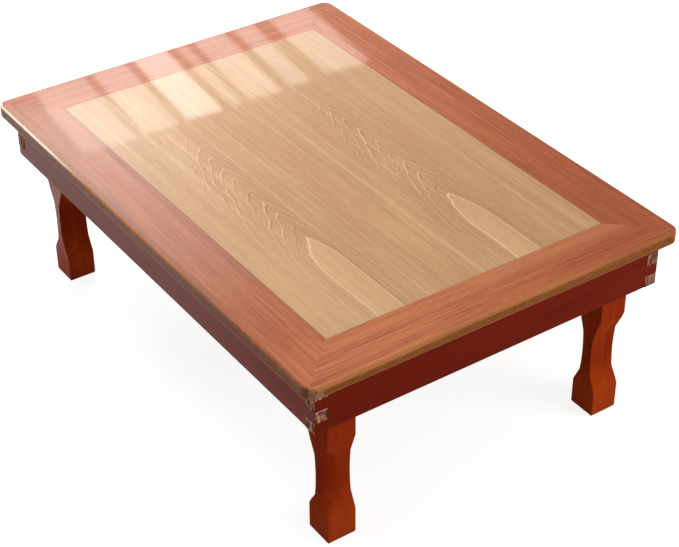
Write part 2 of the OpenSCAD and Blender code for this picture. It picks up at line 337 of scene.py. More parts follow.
def oak_panel():
    finish = Finish("flame_oak_gloss", Coat_Roughness=0.05, Specular_IOR_Level=0.15)
    broad = finish.noise((240, 70, 70), 2.0)
    ribbon = finish.noise((700, 8, 8), 2.0, 0.6, (2, 5, 0))
    streak = finish.noise((70, 1.7, 1.7), 3.0, 0.6)
    fine = finish.noise((14, 0.55, 0.55), 2.0, 0.6, (3, 1, 0))
    pores = finish.between(finish.noise((7, 0.42, 0.6), 1.0, 0.5, (1, 7, 0)), 0.62, 0.72)
    base = finish.mix(finish.between(broad, 0.3, 0.7), oak["light"], oak["shade"])
    base = finish.wash(base, oak["pale_ribbon"], ribbon, 0.55, 0.68, 0.5)
    base = finish.wash(base, oak["dark_ribbon"], ribbon, 0.46, 0.34, 0.45)
    base = finish.wash(base, oak["streak"], streak, 0.35, 0.75, 0.55)
    base = oak_figure(finish, base)
    base = finish.wash(base, oak["fibre"], fine, 0.45, 0.8, 0.35)
    base = finish.mix(pores * 0.45, base, oak["pore"])
    x, y, _ = finish.axes()
    # Painted shade darkens the panel towards the back, and painted light makes it paler towards the
    # near right corner.
    base = finish.wash(base, oak["far"], y, 40.0, 190.0, 0.24)
    near = finish.between(y, -40.0, -190.0) * finish.between(x, 0.0, 200.0, 0.0, 0.3)
    base = finish.mix(near, base, oak["near"])
    end_joint = abs(x) > panel_high.x / MM - JOINT_LINE
    side_joint = abs(y) > panel_high.y / MM - JOINT_LINE
    base = finish.mix(end_joint.apply("MAXIMUM", side_joint) * 0.5, base, oak["joint"])
    finish.feed("Base Color", base)
    finish.feed("Roughness", 0.34 + 0.12 * streak)
    finish.feed("Coat Weight", 0.24 + 0.12 * broad)
    finish.bump(fine * 0.6 - pores * 0.5, 0.03, 0.35)
    return finish.material


oak_gloss = oak_panel()
print("leaf of", round(LEAF, 1), "mm,", len(oak_gloss.node_tree.nodes), "nodes")

# %% [markdown]
# ## Red-brown borders
# The borders are plain-striped veneer stained red-brown, with the grain along
# each strip, so the stripes turn at the mitres. One function makes both
# directions: it lists how long and how wide the noise cells are along X, Y
# and Z, and swaps the first two for the short ends. Short pale flecks lie on
# the stripes. The tone drifts over the table as it does in the photograph,
# through painted light and shade: painted light makes the near end redder and
# paler, painted shade darkens the far corner, and a painted reflection lies
# pale along the front.

# %% Striped border finish
red = palette(light=(194, 108, 58), shade=(180, 94, 46), near=(214, 126, 78),
              dark_band=(150, 66, 32), pale_band=(206, 124, 74), streak=(126, 50, 24),
              fibre=(212, 134, 84), fleck=(224, 150, 108), pore=(92, 36, 26),
              far=(138, 52, 20), inside=(216, 146, 92), dusty=(172, 130, 112),
              line=(126, 62, 40))


def cells(axis, length, width):
    """Noise cell for streaks of that length along axis 0, 1 or 2."""
    return [length if i == axis else width for i in range(3)]


def short_tones(finish, base, x, y):
    """The right border is paler beside the panel, most of all at its far half."""
    inside = finish.between(x, 320.0, 298.0, 0.0, 0.34) * (x > 0.0)
    return finish.mix(inside * finish.between(y, -80.0, 40.0, 0.2, 1.0), base, red["inside"])


def long_tones(finish, base, x, y):
    """The front border has a pale painted reflection, with a darker line along each of its sides."""
    # Painted reflection: a pale pinkish haze along the front border, fading towards the right.
    dusty = finish.between(y, -150.0, -190.0) * finish.between(x, 330.0, 50.0, 0.0, 0.3)
    base = finish.mix(dusty, base, red["dusty"])
    outer_line = finish.between(y, -237.0, -243.0, 0.0, 0.5)
    inner_line = finish.between(abs(y + 191.0), 6.0, 1.0, 0.0, 0.4)
    run = finish.between(x, -250.0, -170.0) * finish.between(x, 330.0, 20.0, 0.2, 1.0)
    return finish.mix((outer_line + inner_line) * run, base, red["line"])


def striped_border(name, axis, tones_by_place):
    finish = Finish(name, Coat_Roughness=0.055, Specular_IOR_Level=0.15)
    broad = finish.noise(cells(axis, 320, 16), 2.0, 0.5, (5, 2, 0))
    bands = finish.noise(cells(axis, 420, 5.5), 2.0, 0.55, (1, 9, 0))
    streak = finish.noise(cells(axis, 90, 1.5), 3.0, 0.6, (4, 4, 0))
    fine = finish.noise(cells(axis, 18, 0.5), 2.0, 0.6, (8, 3, 0))
    flecks = finish.noise(cells(axis, 11, 0.9), 2.0, 0.55, (6, 6, 0))
    pores = finish.between(finish.noise(cells(axis, 8, 0.45), 1.0, 0.5, (2, 5, 0)), 0.62, 0.72)
    x, y, _ = finish.axes()
    slant = x * 0.5 + y
    base = finish.mix(finish.between(broad, 0.32, 0.68), red["light"], red["shade"])
    # Painted light: the border is paler and redder towards the near corner of the right end.
    near = finish.between(x, 250.0, 330.0) * finish.between(slant, 170.0, 60.0)
    base = finish.mix(near * 0.55, base, red["near"])
    base = finish.wash(base, red["dark_band"], bands, 0.42, 0.66, 0.42)
    base = finish.wash(base, red["pale_band"], bands, 0.42, 0.28, 0.4)
    base = finish.wash(base, red["streak"], streak, 0.42, 0.7, 0.75)
    base = finish.wash(base, red["fibre"], fine, 0.5, 0.85, 0.4)
    base = finish.wash(base, red["fleck"], flecks, 0.6, 0.7, 0.45)
    base = finish.mix(pores * 0.5, base, red["pore"])
    # Painted shade: the border darkens towards the far right corner.
    base = finish.wash(base, red["far"], slant, 140.0, 350.0, 0.45)
    base = tones_by_place(finish, base, x, y)
    finish.feed("Base Color", base)
    finish.feed("Roughness", 0.34 + 0.14 * streak)
    finish.feed("Coat Weight", (0.24 + 0.12 * broad) * finish.between(slant, 140.0, 300.0, 1.0, 0.4))
    finish.bump(fine * 0.6 - pores * 0.5, 0.03, 0.35)
    return finish.material


border_along = striped_border("red_border_gloss_long", 0, long_tones)
border_cross = striped_border("red_border_gloss_short", 1, short_tones)
print("border finishes:", border_along.name, border_cross.name)

# %% [markdown]
# ## Stained solid wood
# Edge strips, rails and legs are solid wood under a stain, which hides most
# of the figure and leaves soft streaks. They share one recipe with their own
# colours, and their lacquer thins towards the near end, where it is worn.
# The rails also show end grain at the finger joints, which drinks more stain
# in some places than in others, so it looks dotted and rayed; a painted
# highlight lines the top of each finger. The edge strips are mottled, and
# their arrises are pale: partly rubbed wood, partly painted highlight.

# %% Stained wood recipe
def tones(*colours):
    """The light, dark and deep colour of a stain."""
    return [paint(*rgb) for rgb in colours]


def stained(name, axis, stain, coat, specular=0.1, length=160, width=3.2):
    light, dark, deep = stain
    finish = Finish(name, Coat_Roughness=0.16, Specular_IOR_Level=specular)
    broad = finish.noise(cells(axis, length * 1.8, width * 7), 2.0, 0.5, (7, 3, 1))
    streak = finish.noise(cells(axis, length, width), 3.0, 0.6, (2, 6, 4))
    fine = finish.noise(cells(axis, 20, 0.6), 2.0, 0.6, (3, 3, 3))
    base = finish.mix(finish.between(broad, 0.3, 0.7), light, dark)
    base = finish.wash(base, deep, streak, 0.42, 0.75, 0.5)
    base = finish.wash(base, light, fine, 0.5, 0.8, 0.18)
    x, _, _ = finish.axes()
    left = finish.between(x, -350.0, -120.0, 1.3, 0.95)
    worn = finish.between(x, 20.0, 340.0, 1.0, 0.15)
    finish.feed("Base Color", base)
    finish.feed("Roughness", 0.42 + 0.16 * streak)
    finish.feed("Coat Weight", coat * left * worn * (0.75 + 0.5 * broad))
    finish.bump(fine * 0.5 + streak * 0.5, 0.04, 0.4)
    return finish, base, streak


# %% Rails with end grain
FINGERS = 4
rail_low, rail_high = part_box("rail_front")
rail_top = rail_high.z / MM
finger_height = (rail_high.z - rail_low.z) / FINGERS / MM
finger_ends = rail_high.x / MM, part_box("rail_right")[1].y / MM
RAIL_ARRIS, CUT_FULL = 0.45, 0.15
RIM_HIGHLIGHT_SHARE = 0.08
end_grain = palette(plain=(158, 96, 64), dot=(88, 44, 28), pale_ray=(214, 164, 134),
                    dark_ray=(58, 26, 18), rim=(226, 188, 168), far=(72, 32, 20))


def rail_finish(name, axis, stain, coat, specular):
    """Stain along the rail, and end grain within a hair of the fingers' ends."""
    finish, base, _ = stained(name, axis, stain, coat, specular)
    x, y, z = finish.axes()
    end = finger_ends[axis]
    cut = finish.between(abs((x, y)[axis]), end - RAIL_ARRIS, end - CUT_FULL)
    dots = finish.noise((0.7, 0.7, 0.7), 2.0, 0.6)
    rays = finish.noise((2.8, 2.8, 14.0), 1.0, 0.5, (4, 1, 2))
    grain = finish.mix(finish.between(dots, 0.4, 0.62), end_grain["plain"], end_grain["dot"])
    grain = finish.wash(grain, end_grain["pale_ray"], rays, 0.5, 0.58, 0.85)
    grain = finish.wash(grain, end_grain["dark_ray"], rays, 0.48, 0.4, 0.85)
    # Painted highlight: a pale line along the top of each finger, where its proud arris catches the
    # light.
    rim = ((rail_top - z) / finger_height).apply("FRACT") < RIM_HIGHLIGHT_SHARE
    grain = finish.mix(rim * 0.7, grain, end_grain["rim"])
    # Painted shade: the end grain darkens towards the back.
    grain = finish.wash(grain, end_grain["far"], y, 0.0, 200.0, 0.55)
    finish.feed("Base Color", finish.mix(cut, base, grain))
    return finish.material


# %% Edge strips with rubbed arrises
TOP = cad_box[1][2] / MM
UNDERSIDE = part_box("edge_front")[0].z / MM
END_X = cad_box[1][0] / MM
khaki = palette(mottle=(178, 116, 68), rubbed=(190, 122, 78), near=(214, 140, 92),
                white=(255, 240, 214), lower=(164, 106, 72), bare=(176, 136, 98),
                grime=(72, 48, 34))


def edge_finish(name, axis, stain, coat, specular):
    """Khaki stain, with pale arrises that are partly rubbed wood and partly painted highlight."""
    finish, base, _ = stained(name, axis, stain, coat, specular)
    x, y, z = finish.axes()
    ragged = z + (finish.noise(cells(axis, 30, 1.5), 2.0) - 0.5) * 1.2
    grit = finish.noise((0.9, 0.9, 1.6), 2.0, 0.6, (6, 2, 2))
    mottle = finish.noise((9, 9, 2.4), 3.0, 0.65, (3, 8, 5))
    base = finish.wash(base, stain[2], mottle, 0.52, 0.66, 0.45)
    base = finish.wash(base, khaki["mottle"], mottle, 0.46, 0.34, 0.4)
    if axis:
        # Partly wear, partly painted highlight: a pale band along the top arris, wider and brighter
        # towards the near corner, fainter at the far end.
        wider = finish.between(y, -40.0, -140.0, 0.0, 1.5) - finish.between(y, 60.0, 180.0, 0.0, 1.2)
        band = finish.between(ragged + wider, TOP - 5.6, TOP - 2.6, 0.0, 0.9)
        band = band * finish.between(y, 60.0, 180.0, 1.0, 0.5)
        base = finish.mix(band, base, khaki["rubbed"])
        base = finish.mix(band * finish.between(y, -60.0, -150.0, 0.0, 0.45), base, khaki["near"])
    else:
        # Painted highlight: the pale top band fades to the right, and a near-white painted
        # reflection lines the front arris towards the left end.
        band = finish.between(ragged, TOP - 3.4, TOP - 1.8, 0.0, 0.9)
        base = finish.mix(band * finish.between(x, -60.0, 300.0, 1.0, 0.2), base, khaki["rubbed"])
        arris = finish.between(z, TOP - 1.7, TOP - 0.8) * (y < 0.0)
        base = finish.mix(arris * finish.between(x, -100.0, -250.0, 0.0, 1.1), base, khaki["white"])
    # Paler along the lower arris: partly wear, partly painted highlight.
    base = finish.wash(base, khaki["lower"], ragged, UNDERSIDE + 3.0, UNDERSIDE + 1.4, 0.75)
    corner = ((x > END_X - 4.5) * finish.between(y, -228.0, -232.0)
              * finish.between(z, TOP - 3.0, TOP - 4.5))
    bare = finish.mix(finish.between(grit, 0.5, 0.62), khaki["bare"], khaki["grime"])
    finish.feed("Base Color", finish.mix(corner * 0.85, base, bare))
    return finish.material


# %% Stains of each piece
long_edge = tones((140, 82, 48), (120, 64, 36), (92, 46, 26))
short_edge = tones((150, 92, 44), (134, 78, 36), (100, 54, 26))
long_rail = tones((136, 40, 20), (124, 34, 16), (98, 24, 11))
short_rail = tones((120, 31, 12), (108, 26, 9), (86, 18, 7))
plywood = tones((200, 164, 120), (184, 146, 102), (158, 118, 78))

edge_along = edge_finish("edge_wood_long", 0, long_edge, coat=0.2, specular=0.08)
edge_cross = edge_finish("edge_wood_short", 1, short_edge, coat=0.03, specular=0.03)
rail_along = rail_finish("rail_stain_long", 0, long_rail, coat=0.2, specular=0.08)
rail_cross = rail_finish("rail_stain_short", 1, short_rail, coat=0.0, specular=0.03)
bare_wood = stained("bare_plywood", 0, plywood, coat=0.0, length=220, width=6.0)[0].material
print("stained finishes:", sum("stain" in m.name or "edge" in m.name for m in bpy.data.materials))

# %% [markdown]
# ## Steel and rubber
# The hinges are pressed steel with a thin zinc layer: brushed in one
# direction, slightly cloudy, with a darker tint in patches. The leaf springs
# are blued, and the foot pads are matt rubber with a fine pebble.

# %% Metal and rubber finishes
def plated_steel(name, bright, dull, roughness):
    finish = Finish(name, Metallic=1.0)
    cloud = finish.noise((9, 9, 9), 3.0, 0.6)
    brushed = finish.noise((12, 0.25, 0.4), 2.0, 0.6)
    base = finish.mix(finish.between(cloud, 0.35, 0.7), bright, dull)
    base = finish.wash(base, dull, brushed, 0.5, 0.8, 0.3)
    finish.feed("Base Color", base)
    finish.feed("Roughness", roughness + 0.15 * cloud + 0.05 * brushed)
    finish.bump(brushed, 0.01, 0.4)
    return finish.material


def pebbled_rubber(name):
    finish = Finish(name, Specular_IOR_Level=0.3)
    pebble = finish.noise((0.9, 0.9, 0.9), 3.0, 0.6)
    dust = finish.noise((14, 14, 4), 3.0, 0.6)
    base = finish.mix(finish.between(dust, 0.4, 0.75), paint(44, 43, 42), paint(78, 74, 70))
    finish.feed("Base Color", base)
    finish.feed("Roughness", 0.72 + 0.18 * pebble)
    finish.bump(pebble, 0.12, 0.5)
    return finish.material


zinc = plated_steel("zinc_steel", paint(196, 196, 190), paint(150, 150, 144), 0.3)
blued = plated_steel("blued_spring", paint(96, 100, 112), paint(64, 66, 74), 0.32)
rubber = pebbled_rubber("foot_rubber")
print("metal and rubber:", zinc.name, blued.name, rubber.name)

# %% [markdown]
# ## Tools of the workshop
# Three helpers do most of the work. One saws a block with a plane and closes
# the cut. One eases arrises with a bevel where two faces meet at more than a
# given angle. The last turns a bmesh into a piece that rides on its body,
# hides the CAD node it stands for and has weighted normals, so that flat
# faces stay flat next to their rounded arrises.
#
# Three small lengths in metres serve as tolerances. Places closer than NEAR
# count as one, cuts work to HAIR, and points closer than WELD are merged.

# %% Saw, ease and deliver
NEAR, HAIR, WELD = 1e-5, 1e-7, 1e-6


def block(low, high):
    """A bmesh with one box between two corners."""
    bm = bmesh.new()
    bmesh.ops.create_cube(bm, size=1.0)
    bmesh.ops.scale(bm, vec=high - low, verts=bm.verts)
    bmesh.ops.translate(bm, vec=(low + high) / 2, verts=bm.verts)
    return bm


def everything(bm):
    return bm.verts[:] + bm.edges[:] + bm.faces[:]


def saw(bm, point, normal):
    """Cuts off what lies on the normal's side and closes the cut."""
    bmesh.ops.bisect_plane(bm, geom=everything(bm), dist=HAIR, plane_co=point, plane_no=normal,
                           clear_outer=True)
    bmesh.ops.holes_fill(bm, edges=[e for e in bm.edges if e.is_boundary])


def mark(bm, point, normal):
    """Draws a line round the piece, for what follows to work on."""
    bmesh.ops.bisect_plane(bm, geom=everything(bm), dist=HAIR, plane_co=point, plane_no=normal)


def round_off(bm, edges, radius, segments, clamp=False):
    """Rounds these edges to a radius in millimetres."""
    bmesh.ops.bevel(bm, geom=edges, offset=radius * MM, offset_type="OFFSET", segments=segments,
                    profile=0.5, affect="EDGES", clamp_overlap=clamp, material=-1)


def ease(bm, radius, segments=2, angle=40.0, where=lambda edge: True):
    """Rounds each arris that is sharper than the angle and passes where."""
    sharp = [e for e in bm.edges if len(e.link_faces) == 2
             and e.calc_face_angle(0.0) > math.radians(angle) and where(e)]
    round_off(bm, sharp, radius, segments, clamp=True)


def deliver(bm, name, material, node, body="tabletop", smooth=30.0, crisp=None):
    """The bmesh as a finished piece that stands for a CAD node."""
    bmesh.ops.recalc_face_normals(bm, faces=bm.faces)
    bm.edges.index_update()
    ridges = [e.index for e in bm.edges if crisp and crisp(e)]
    mesh = bpy.data.meshes.new(name)
    bm.to_mesh(mesh)
    bm.free()
    mesh.materials.append(material)
    mesh.shade_smooth()
    mesh.set_sharp_from_angle(angle=math.radians(smooth))
    for index in ridges:
        mesh.edges[index].use_edge_sharp = True
    piece = bpy.data.objects.new(name, mesh)
    bpy.context.scene.collection.objects.link(piece)
    weighted = piece.modifiers.new("weighted normals", "WEIGHTED_NORMAL")
    weighted.keep_sharp = True
    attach(piece, body)
    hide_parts(node)
    return piece


print("workshop helpers ready")

# %% [markdown]
# ## The face: a panel and four mitred borders
# On the real board the veneers are laid on one core. Here the panel is a
# block with a hair-fine eased top arris. Each border is sawn from one blank
# with rounded corners, as a joiner would: cut along the panel's side, then
# along the two mitre lines. The eased arrises leave the fine lines that show
# at the joints.

# %% Lay the panel
PANEL_ARRIS, BORDER_ARRIS = 0.25, 0.22


def on_the_face(edge):
    """True for the arrises round a veneer's upper side."""
    return all(v.co.z > panel_high.z - NEAR for v in edge.verts)


bm = block(panel_low, panel_high)
ease(bm, PANEL_ARRIS, where=on_the_face)
panel = deliver(bm, "panel_veneer", oak_gloss, "centre_panel")
print(panel.name, len(panel.data.polygons), "faces")

# %% Saw the borders
CORNER, CORNER_SEGMENTS = 14.0, 12
core_low, core_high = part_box("core_board")
board_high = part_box("edge_right")[1].copy()
board_high.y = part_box("edge_back")[1].y
edge_width = (board_high.x - core_high.x) / MM


def border_strip(side):
    """side is (1, 0) for the right end, (0, -1) for the front, and so on."""
    sx, sy = side
    bm = block(Vector((core_low.x, core_low.y, panel_low.z)),
               Vector((core_high.x, core_high.y, panel_high.z)))
    upright_edges = [e for e in bm.edges if abs(e.verts[0].co.z - e.verts[1].co.z) > NEAR]
    round_off(bm, upright_edges, CORNER - edge_width, CORNER_SEGMENTS)
    inner = Vector((sx * panel_high.x, sy * panel_high.y, 0))
    saw(bm, inner, Vector((-sx, -sy, 0)))
    for turn in (-1, 1):
        px, py = (sx, turn) if sx else (turn, sy)
        corner = Vector((px * board_high.x, py * board_high.y, 0))
        heel = Vector((px * panel_high.x, py * panel_high.y, 0))
        mitre = (corner - heel).cross(Vector((0, 0, 1)))
        if mitre.dot(Vector((sx, sy, 0))) > 0:
            mitre.negate()
        saw(bm, heel, mitre)
    ease(bm, BORDER_ARRIS, where=on_the_face)
    return bm


sides = {"front": (0, -1), "back": (0, 1), "left": (-1, 0), "right": (1, 0)}
for place, side in sides.items():
    veneer = border_along if side[1] else border_cross
    piece = deliver(border_strip(side), "border_veneer_" + place, veneer,
                    "border_" + place)
    print(piece.name, len(piece.data.polygons), "faces")

# %% [markdown]
# ## The rounded edge
# A solid strip runs round the board and is rounded like a bullnose. One strip
# is a small rectangle swept along the side and round half of each corner:
# spin turns it through 45 degrees, an extrusion makes the straight run, and a
# second spin ends it at the next mitre. The two outer arrises are then
# rounded, wide on top and a little less below.

# %% Sweep the edge strips
TOP_ROUND, LOW_ROUND, ROUND_SEGMENTS = 2.0, 1.8, 7
EIGHTH, EIGHTH_STEPS = math.radians(45), 8


def only(geometry, kind):
    return [g for g in geometry if isinstance(g, kind)]


def turn_corner(bm, face, pivot):
    """Sweeps a face through half of a corner and returns the face at its end."""
    swept = bmesh.ops.spin(bm, geom=[face] + face.edges[:] + face.verts[:], cent=pivot,
                           axis=(0, 0, -1), angle=EIGHTH, steps=EIGHTH_STEPS, use_duplicate=False)
    return only(swept["geom_last"], bmesh.types.BMFace)[0]


def edge_strip(along, reach, low, high):
    """Strip at y = reach, whose corners are centred at x = -along and along."""
    bm = bmesh.new()
    inner, outer = reach - edge_width * MM, reach
    section = bm.faces.new([bm.verts.new((-along, y, z)) for y, z in
                            ((inner, low), (outer, low), (outer, high), (inner, high))])
    pivot = Vector((-along, reach - CORNER * MM, 0))
    bmesh.ops.rotate(bm, cent=pivot, matrix=Matrix.Rotation(EIGHTH, 3, "Z"), verts=bm.verts)
    front = turn_corner(bm, section, pivot)
    run = bmesh.ops.extrude_face_region(bm, geom=[front])["geom"]
    bmesh.ops.delete(bm, geom=[front], context="FACES_ONLY")
    bmesh.ops.translate(bm, vec=(2 * along, 0, 0), verts=only(run, bmesh.types.BMVert))
    pivot.x = along
    turn_corner(bm, only(run, bmesh.types.BMFace)[0], pivot)
    bmesh.ops.remove_doubles(bm, verts=bm.verts, dist=HAIR)
    return bm


def outside(co, along, reach):
    """True on the strip's outer side, round the corners too."""
    if abs(co.x) <= along + NEAR:
        return co.y > reach - NEAR
    return math.hypot(abs(co.x) - along, co.y - (reach - CORNER * MM)) > CORNER * MM - NEAR


for place, side in sides.items():
    along_x = side[0] == 0
    run = (board_high.x if along_x else board_high.y) - CORNER * MM
    reach = board_high.y if along_x else board_high.x
    low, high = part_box("edge_" + place)[0].z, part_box("edge_" + place)[1].z
    bm = edge_strip(run, reach, low, high)
    for radius, level in ((TOP_ROUND, high), (LOW_ROUND, low)):
        arris = [e for e in bm.edges
                 if len(e.link_faces) == 2 and e.calc_face_angle(0.0) > EIGHTH
                 and all(abs(v.co.z - level) < NEAR and outside(v.co, run, reach) for v in e.verts)]
        round_off(bm, arris, radius, ROUND_SEGMENTS)
    quarter = math.radians({"back": 0, "left": 90, "front": 180, "right": -90}[place])
    bmesh.ops.rotate(bm, matrix=Matrix.Rotation(quarter, 3, "Z"), verts=bm.verts)
    piece = deliver(bm, "bullnose_" + place, edge_along if along_x else edge_cross,
                    "edge_" + place)
    print(piece.name, len(piece.data.polygons), "faces")

# %% [markdown]
# ## Rails with finger joints
# Each rail starts as the length between the shoulders. Lines are marked
# across its end, one for each finger, and every second end face is drawn out
# past the neighbour's face by a little more than its thickness. The fingers
# then stand slightly proud, as they do on the real corners after years of
# drying, and their arrises are eased.

# %% Cut the rails
PROUD = 0.6
rail_thick = rail_high.y - rail_low.y


def jointed_rail(node, axis, first):
    """first says for the low and the high end whether its fingers start at cell 0 or 1."""
    low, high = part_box(node)
    body_low, body_high = low.copy(), high.copy()
    shoulder = high[axis] - PROUD * MM - rail_thick
    body_low[axis], body_high[axis] = -shoulder, shoulder
    bm = block(body_low, body_high)
    step = (high.z - low.z) / FINGERS
    for i in range(1, FINGERS):
        mark(bm, Vector((0, 0, low.z + i * step)), Vector((0, 0, 1)))
    bm.faces.ensure_lookup_table()
    for end, kept in zip((-1, 1), first):
        for face in list(bm.faces):
            centre = face.calc_center_median()
            cell = int((centre.z - low.z) / step)
            at_end = abs(face.normal[axis]) > 0.9 and centre[axis] * end > shoulder - NEAR
            if not at_end or cell % 2 != kept:
                continue
            drawn = bmesh.ops.extrude_discrete_faces(bm, faces=[face])["faces"][0]
            shift = Vector((0, 0, 0))
            shift[axis] = end * (rail_thick + PROUD * MM)
            bmesh.ops.translate(bm, vec=shift, verts=drawn.verts)
    bmesh.ops.recalc_face_normals(bm, faces=bm.faces)
    bmesh.ops.dissolve_limit(bm, angle_limit=math.radians(1), verts=bm.verts, edges=bm.edges)
    ease(bm, RAIL_ARRIS)
    return bm


rails = (("front", 0, (0, 1), rail_along), ("back", 0, (1, 0), rail_along),
         ("right", 1, (0, 1), rail_cross), ("left", 1, (1, 0), rail_cross))
for place, axis, first, stain in rails:
    piece = deliver(jointed_rail("rail_" + place, axis, first), "jointed_rail_" + place, stain,
                    "rail_" + place)
    print(piece.name, len(piece.data.polygons), "faces")

# %% [markdown]
# ## Waisted legs
# A leg is a square block sawn on two sides to a waist, with a round upper end
# that turns on the pivot, and a shallow facet planed on the outer half of
# each sawn face that ends in a point at the foot. The block gets its eased
# arrises first. Then it is sliced into thin storeys, and each storey is
# pushed in by the depth of the saw cut at its height.

# %% Depth of the cuts
LEG = 36.5
FOOT, WAIST_LOW, WAIST_HIGH, SWEEP = 35.0, 55.0, 112.0, 139.0
WAIST_END, WAIST_MID = 9.0, 10.8
TONGUE_REACH, TONGUE_DEEP = 18.0, 2.4
half = LEG / 2
tongue_line = half - TONGUE_REACH
tongue_turn = math.atan(TONGUE_DEEP / TONGUE_REACH)
sag = WAIST_MID - WAIST_END
half_waist = (WAIST_HIGH - WAIST_LOW) / 2
waist_radius = (half_waist ** 2 + sag ** 2) / (2 * sag)


def saw_depth(z, low, high):
    """Depth of a cut that starts at height low and ends at height high."""
    if z < WAIST_LOW:
        return (z - low) / (WAIST_LOW - low) * WAIST_END
    if z > WAIST_HIGH:
        return (high - z) / (high - WAIST_HIGH) * WAIST_END
    rise = z - (WAIST_LOW + WAIST_HIGH) / 2
    return WAIST_MID - waist_radius + math.sqrt(waist_radius ** 2 - rise ** 2)


low_slope = WAIST_END / (WAIST_LOW - FOOT)
high_slope = WAIST_END / (SWEEP - WAIST_HIGH)
tongue_low = FOOT + TONGUE_DEEP / low_slope
tongue_high = SWEEP - TONGUE_DEEP / high_slope


def leg_depth(y, z):
    """Depth below the leg's face at y across the leg and height z."""
    plain = saw_depth(z, FOOT, SWEEP)
    facet = (saw_depth(z, tongue_low, tongue_high) + (y - tongue_line) * math.sin(tongue_turn)) \
        / math.cos(tongue_turn)
    return max(0.0, plain, facet)


def crease(z):
    """Where across the leg the facet starts at that height."""
    plain = saw_depth(z, FOOT, SWEEP)
    facet = saw_depth(z, tongue_low, tongue_high)
    return tongue_line + (plain * math.cos(tongue_turn) - facet) / math.sin(tongue_turn)


middle = (WAIST_LOW + WAIST_HIGH) / 2
print("waist depth", round(leg_depth(-half, middle), 2), "mm; facet adds",
      round(leg_depth(half, middle) - leg_depth(-half, middle), 2), "mm at its outer side")

# %% [markdown]
# The stain is painted deeper round the waist and on the planed facets: this
# is painted shade. Each facet widens towards the waist, so the painted
# shade's border is counted from how far a point is above or below it. The
# feet are painted lighter, as painted light, and the outer sides of the left
# legs have kept their polish.

# %% Stain of the legs
leg_low, leg_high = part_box("leg_back_left")
LEG_Y = (leg_low.y + leg_high.y) / 2 / MM
FACET_NARROWS, LESS_ABOVE = 1.22, 0.75
SIDE_SPARED, SIDE_POLISHED = 0.65, 0.45
leg_stains = tones((168, 62, 19), (152, 49, 14), (122, 31, 8))
painted_foot_light = paint(192, 76, 28)


def leg_finish(name, stain):
    finish, base, streak = stained(name, 2, stain, coat=0.02, specular=0.0, width=9.0)
    x, y, z = finish.axes()
    # Painted shade: the stain is darker round the waist.
    waist = finish.swell(z, 50.0, 75.0, 95.0, 125.0)
    base = finish.mix(waist * (0.2 + 0.4 * streak), base, stain[2])
    outer = abs(y) - LEG_Y
    away = (WAIST_LOW - z).apply("MAXIMUM", (z - WAIST_HIGH) * LESS_ABOVE).apply("MAXIMUM", 0.0)
    # Painted shade on the outer facets, darkest towards the waist.
    facet_painted_shade = finish.between(outer - away * FACET_NARROWS, -1.5, 5.0) * (outer < half - SIDE_SPARED)
    base = finish.mix(facet_painted_shade * finish.between(z, 45.0, 95.0, 0.3, 0.6), base, stain[2])
    # Painted light: the feet are lighter, less so on the left legs.
    foot = finish.between(z, 52.0, 30.0, 0.0, 0.36) * finish.between(x, -250.0, 0.0, 0.1, 1.0)
    finish.feed("Base Color", finish.mix(foot, base, painted_foot_light))
    polished = (outer > half - SIDE_POLISHED) * finish.between(x, 0.0, -200.0)
    polished = polished * finish.between(z, 15.0, 100.0, 0.22, 1.0)
    finish.feed("Coat Weight", 0.02 + 0.54 * polished)
    return finish.material


leg_stain = leg_finish("leg_stain", leg_stains)
print(leg_stain.name, len(leg_stain.node_tree.nodes), "nodes")

# %% Slice and shape the legs
ARRIS, ARRIS_SEGMENTS = 0.6, 3
TOUCH = 0.01
CREASE_BACK, CREASE_SHORT = 2.0, 0.15
LOW_STOREYS = [FOOT - 3, FOOT, 36.5, 38.5, tongue_low, 43, 46, 49, 52, WAIST_LOW]
WAIST_STOREYS = [WAIST_LOW + (WAIST_HIGH - WAIST_LOW) * i / 16 for i in range(1, 17)]
HIGH_STOREYS = [116, 120, 124, 128, tongue_high, 134.5, 137, SWEEP, SWEEP + 3]
ROUND_DEGREES = range(0, 88, 6)
pivots = {j["child"]: Vector(j["pos_m"]) for j in frame["joints"]}


def waisted_leg(foot_z, pivot_z):
    """A leg about the origin, with its outer half on +Y, in metres."""
    top = pivot_z + half
    bm = block(Vector((-half, -half, foot_z)) * MM, Vector((half, half, top)) * MM)
    ease(bm, ARRIS, ARRIS_SEGMENTS, where=lambda e: min(v.co.z for v in e.verts) < (top - 1) * MM)
    rounded = [pivot_z + half * math.sin(math.radians(a)) for a in ROUND_DEGREES]
    for z in LOW_STOREYS + WAIST_STOREYS + HIGH_STOREYS + rounded:
        mark(bm, Vector((0, 0, z * MM)), Vector((0, 0, 1)))
    mark(bm, Vector((0, tongue_line * MM, 0)), Vector((0, 1, 0)))
    for v in bm.verts:
        x, y, z = v.co / MM
        if FOOT < z < SWEEP and abs(x) > half - ARRIS - TOUCH:
            if abs(y - tongue_line) < TOUCH:
                y = min(max(crease(z), tongue_line - CREASE_BACK), half - ARRIS - CREASE_SHORT)
            x -= math.copysign(leg_depth(y, z), x)
        elif z > pivot_z:
            x *= math.sqrt(max(0.0, 1 - ((z - pivot_z) / half) ** 2))
        v.co = Vector((x, y, z)) * MM
    bmesh.ops.remove_doubles(bm, verts=bm.verts, dist=2 * WELD)
    return bm


def sawn_ridge(edge):
    """True where two sawn faces meet, at the cut's turns and along the facet."""
    return (len(edge.link_faces) == 2 and edge.calc_face_angle(0.0) > math.radians(6.5)
            and all(abs(face.normal.x) > 0.85 for face in edge.link_faces))


